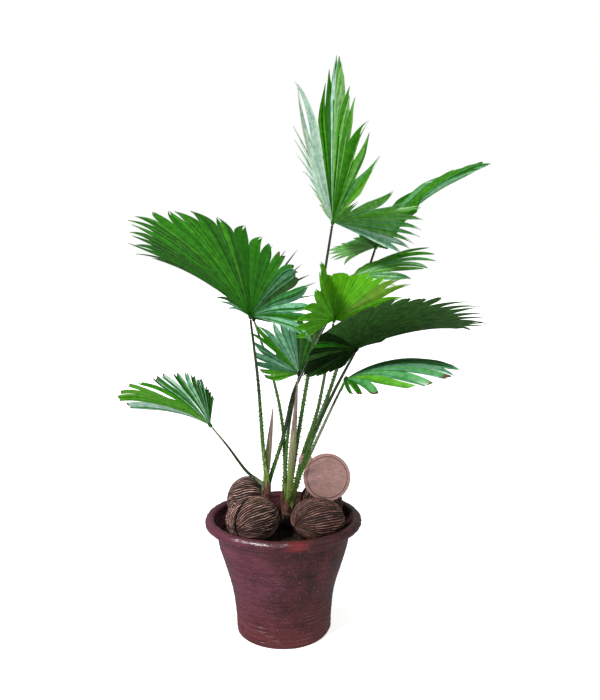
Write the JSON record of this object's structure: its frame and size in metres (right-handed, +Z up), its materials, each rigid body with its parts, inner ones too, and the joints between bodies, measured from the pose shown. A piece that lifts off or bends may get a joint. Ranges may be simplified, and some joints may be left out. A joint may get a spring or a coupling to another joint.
{
  "type": "potted chinese fan palm",
  "caption": "Young fan palm with pleated round fronds on spiny stalks, standing in a glazed pot with woody fruits as mulch.",
  "frame": {"origin": "centre of the pot's flat underside", "axes": "+Z up, +X to the right and -Y towards the viewer in the usual front view"},
  "size_m": [0.6388, 0.5124, 0.9505],
  "materials": {
    "pot": "glossy dark maroon glaze over thrown rings",
    "soil": "dark loose potting soil",
    "fruit": "matt brown fibrous husk",
    "tag": "matt pinkish brown plate",
    "sheath": "reddish brown fibrous sheath",
    "stalk": "smooth green stalk with dark teeth",
    "spear": "purplish brown unopened leaf",
    "frond": "satin green pleated leaf"
  },
  "bodies": {
    "root": {"pot": "pot", "soil": "soil", "nut_front_left": "fruit", "nut_front_right": "fruit", "nut_back_left": "fruit", "nut_back_right": "fruit", "tag": "tag", "stem_left": "sheath", "stem_centre": "sheath", "spear_left": "spear", "spear_centre": "spear", "stalk_low_left": "stalk", "stalk_big_left": "stalk", "stalk_behind_left": "stalk", "stalk_top": "stalk", "stalk_bright": "stalk", "stalk_dark_right": "stalk", "stalk_low_right": "stalk", "stalk_low_centre": "stalk", "stalk_back_right": "stalk", "stalk_mid_right": "stalk", "frond_low_left": "frond", "frond_big_left": "frond", "frond_behind_left": "frond", "frond_top": "frond", "frond_bright": "frond", "frond_dark_right": "frond", "frond_low_right": "frond", "frond_low_centre": "frond", "frond_back_right": "frond", "frond_mid_right": "frond"}
  },
  "joints": []
}
